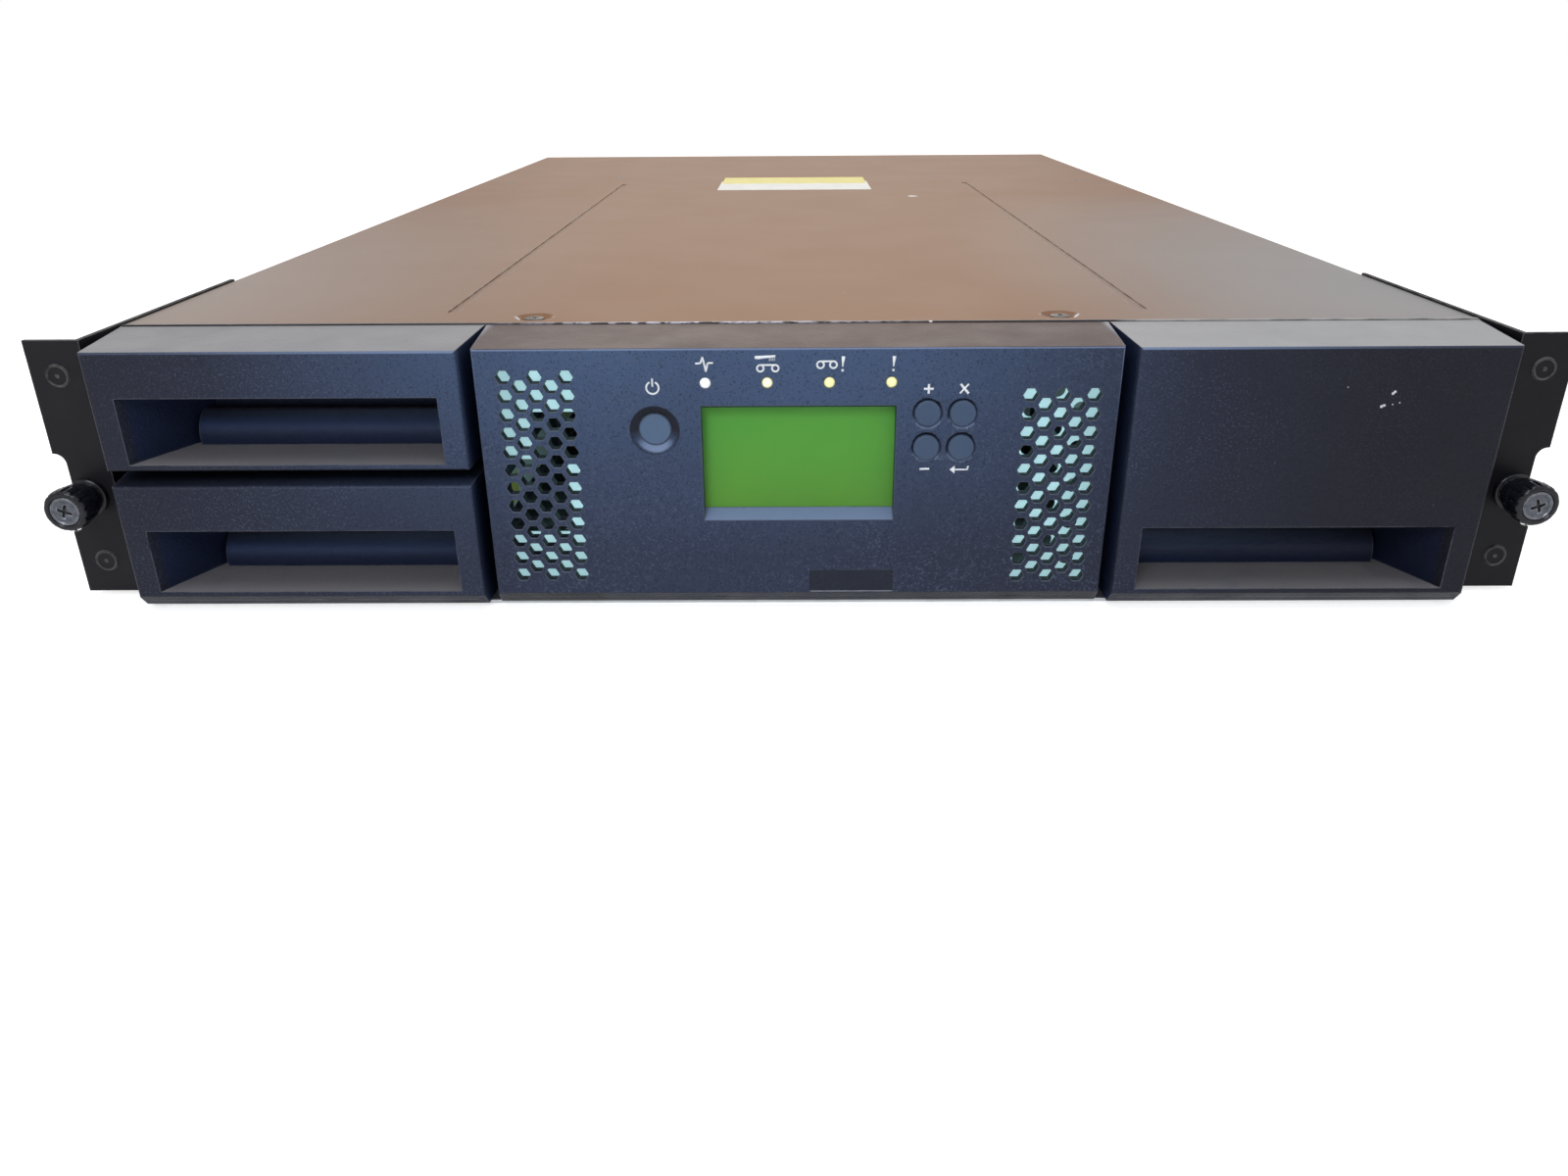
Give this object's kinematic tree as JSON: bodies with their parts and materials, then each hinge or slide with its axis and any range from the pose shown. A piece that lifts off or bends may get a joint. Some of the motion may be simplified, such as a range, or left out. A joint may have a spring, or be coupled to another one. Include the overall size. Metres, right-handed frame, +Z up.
{
  "type": "data tape library",
  "caption": "Rack-mounted data tape library, two units high: pull-out cartridge magazines, mail slot, vented front panel with green display, robot inside, drive sled and power supply behind.",
  "frame": {"origin": "underside of the floor pan, midway between the ears, in the plane of the ears' rear faces", "axes": "+X to the right seen from the front, +Y to the rear, +Z up"},
  "size_m": [0.4826, 0.8073, 0.0878],
  "materials": {
    "black_steel": "satin powder coat",
    "galvanised_steel": "bright galvanised sheet",
    "black_screws": "black plated",
    "bezel_plastic": "fine-grained moulding",
    "button_rubber": "matt",
    "display": "unlit green liquid crystal panel",
    "white_light": "clear light pipe",
    "yellow_light": "pale yellow light pipe",
    "black_plastic": "moulded",
    "circuit_board": "green solder resist",
    "magazine_plastic": "moulded tray",
    "cartridge_plastic": "cartridge shell",
    "bare_steel": "plated steel",
    "motor_case": "motor can",
    "robot_plastic": "light grey moulding",
    "drive_case": "pressed case",
    "sink_aluminium": "extruded"
  },
  "bodies": {
    "chassis": {"floor_pan": "galvanised_steel", "right_side_wall": "galvanised_steel", "left_side_wall": "galvanised_steel", "top_cover": "black_steel", "cover_screws": "black_screws", "right_ear": "black_steel", "left_ear": "black_steel", "ear_screws": "black_screws", "rack_screw_ferrules": "black_screws", "rear_panel": "galvanised_steel", "drive_bay_brackets": "galvanised_steel", "front_panel": "bezel_plastic", "display_glass": "display", "display_frame": "black_plastic", "ready_light": "white_light", "fault_lights": "yellow_light", "operator_board": "circuit_board", "operator_bracket": "galvanised_steel", "magazine_guides": "galvanised_steel", "toothed_rail": "bare_steel", "plain_rail": "bare_steel", "power_supply_case": "galvanised_steel", "fan_grille": "bare_steel", "mains_inlet": "black_plastic", "controller_board": "circuit_board", "controller_heat_sink": "sink_aluminium", "controller_ports": "bare_steel", "controller_plate": "galvanised_steel"},
    "right_magazine": {"right_magazine_door": "bezel_plastic", "right_magazine_tray": "magazine_plastic", "right_cartridges": "cartridge_plastic"},
    "left_magazine": {"left_magazine_door": "bezel_plastic", "left_magazine_tray": "magazine_plastic", "left_cartridges": "cartridge_plastic"},
    "mail_slot": {"mail_slot_door": "bezel_plastic", "mail_slot_tray": "magazine_plastic"},
    "power_button": {"power_button": "button_rubber"},
    "plus_button": {"plus_button": "button_rubber"},
    "cancel_button": {"cancel_button": "button_rubber"},
    "minus_button": {"minus_button": "button_rubber"},
    "enter_button": {"enter_button": "button_rubber"},
    "right_rack_screw": {"right_rack_screw": "black_screws"},
    "left_rack_screw": {"left_rack_screw": "black_screws"},
    "robot_carriage": {"carriage": "bare_steel", "carriage_motor": "motor_case"},
    "drive_pinion": {"drive_pinion": "robot_plastic"},
    "robot_turntable": {"turntable": "bare_steel", "lift_rods": "bare_steel", "lift_bridge": "bare_steel"},
    "lift_screw": {"lift_screw": "bare_steel"},
    "robot_cradle": {"cartridge_cradle": "robot_plastic"},
    "robot_gripper": {"gripper": "robot_plastic"},
    "drive_sled": {"sled_tray": "galvanised_steel", "tape_drive": "drive_case", "sled_rear_plate": "galvanised_steel", "sled_handle": "bare_steel", "sled_board": "circuit_board"},
    "right_sled_screw": {"right_sled_screw": "bare_steel"},
    "left_sled_screw": {"left_sled_screw": "bare_steel"},
    "fan_rotor": {"fan_rotor": "black_plastic"}
  },
  "joints": [
    {"name": "right_magazine_slide", "type": "slide", "parent": "chassis", "child": "right_magazine", "axis": [0, -1, 0], "range_m": [0, 0.4]},
    {"name": "left_magazine_slide", "type": "slide", "parent": "chassis", "child": "left_magazine", "axis": [0, -1, 0], "range_m": [0, 0.4]},
    {"name": "mail_slot_slide", "type": "slide", "parent": "left_magazine", "child": "mail_slot", "axis": [0, -1, 0], "range_m": [0, 0.112]},
    {"name": "power_button_press", "type": "slide", "parent": "chassis", "child": "power_button", "axis": [0, 1, 0], "range_m": [0, 0.0015], "stiffness_N_per_m": 250, "springref_m": -0.001},
    {"name": "plus_button_press", "type": "slide", "parent": "chassis", "child": "plus_button", "axis": [0, 1, 0], "range_m": [0, 0.001], "stiffness_N_per_m": 250, "springref_m": -0.001},
    {"name": "cancel_button_press", "type": "slide", "parent": "chassis", "child": "cancel_button", "axis": [0, 1, 0], "range_m": [0, 0.001], "stiffness_N_per_m": 250, "springref_m": -0.001},
    {"name": "minus_button_press", "type": "slide", "parent": "chassis", "child": "minus_button", "axis": [0, 1, 0], "range_m": [0, 0.001], "stiffness_N_per_m": 250, "springref_m": -0.001},
    {"name": "enter_button_press", "type": "slide", "parent": "chassis", "child": "enter_button", "axis": [0, 1, 0], "range_m": [0, 0.001], "stiffness_N_per_m": 250, "springref_m": -0.001},
    {"name": "right_rack_screw_turn", "type": "hinge", "parent": "chassis", "child": "right_rack_screw", "pos_m": [0.23255, 0, 0.0366], "axis": [0, 1, 0], "continuous": true},
    {"name": "left_rack_screw_turn", "type": "hinge", "parent": "chassis", "child": "left_rack_screw", "pos_m": [-0.23255, 0, 0.0366], "axis": [0, 1, 0], "continuous": true},
    {"name": "carriage_slide", "type": "slide", "parent": "chassis", "child": "robot_carriage", "axis": [0, 1, 0], "range_m": [-0.1054, 0.2108]},
    {"name": "pinion_turn", "type": "hinge", "parent": "robot_carriage", "child": "drive_pinion", "pos_m": [-0.07262, 0.2439, 0], "axis": [0, 0, 1], "range_deg": [-449, 896]},
    {"name": "turntable_turn", "type": "hinge", "parent": "robot_carriage", "child": "robot_turntable", "pos_m": [0, 0.1839, 0], "axis": [0, 0, 1], "range_deg": [-90, 90]},
    {"name": "cradle_lift", "type": "slide", "parent": "robot_turntable", "child": "robot_cradle", "axis": [0, 0, 1], "range_m": [0, 0.048]},
    {"name": "lift_screw_turn", "type": "hinge", "parent": "robot_turntable", "child": "lift_screw", "pos_m": [-0.0595, 0.1949, 0], "axis": [0, 0, 1], "range_deg": [-1729, 1]},
    {"name": "gripper_slide", "type": "slide", "parent": "robot_cradle", "child": "robot_gripper", "axis": [0, 1, 0], "range_m": [0, 0.1]},
    {"name": "drive_sled_slide", "type": "slide", "parent": "chassis", "child": "drive_sled", "axis": [0, 1, 0], "range_m": [0, 0.28]},
    {"name": "right_sled_screw_turn", "type": "hinge", "parent": "drive_sled", "child": "right_sled_screw", "pos_m": [0.0828, 0.7615, 0.0435], "axis": [0, 1, 0], "continuous": true},
    {"name": "left_sled_screw_turn", "type": "hinge", "parent": "drive_sled", "child": "left_sled_screw", "pos_m": [-0.0828, 0.7615, 0.0435], "axis": [0, 1, 0], "continuous": true},
    {"name": "fan_turn", "type": "hinge", "parent": "chassis", "child": "fan_rotor", "pos_m": [0.145, 0.7603, 0.042], "axis": [0, 1, 0], "continuous": true}
  ],
  "couplings": [
    {"joint": "pinion_turn", "follows": "carriage_slide", "rad_per_m": 74.074},
    {"joint": "lift_screw_turn", "follows": "cradle_lift", "rad_per_m": -628.32}
  ]
}
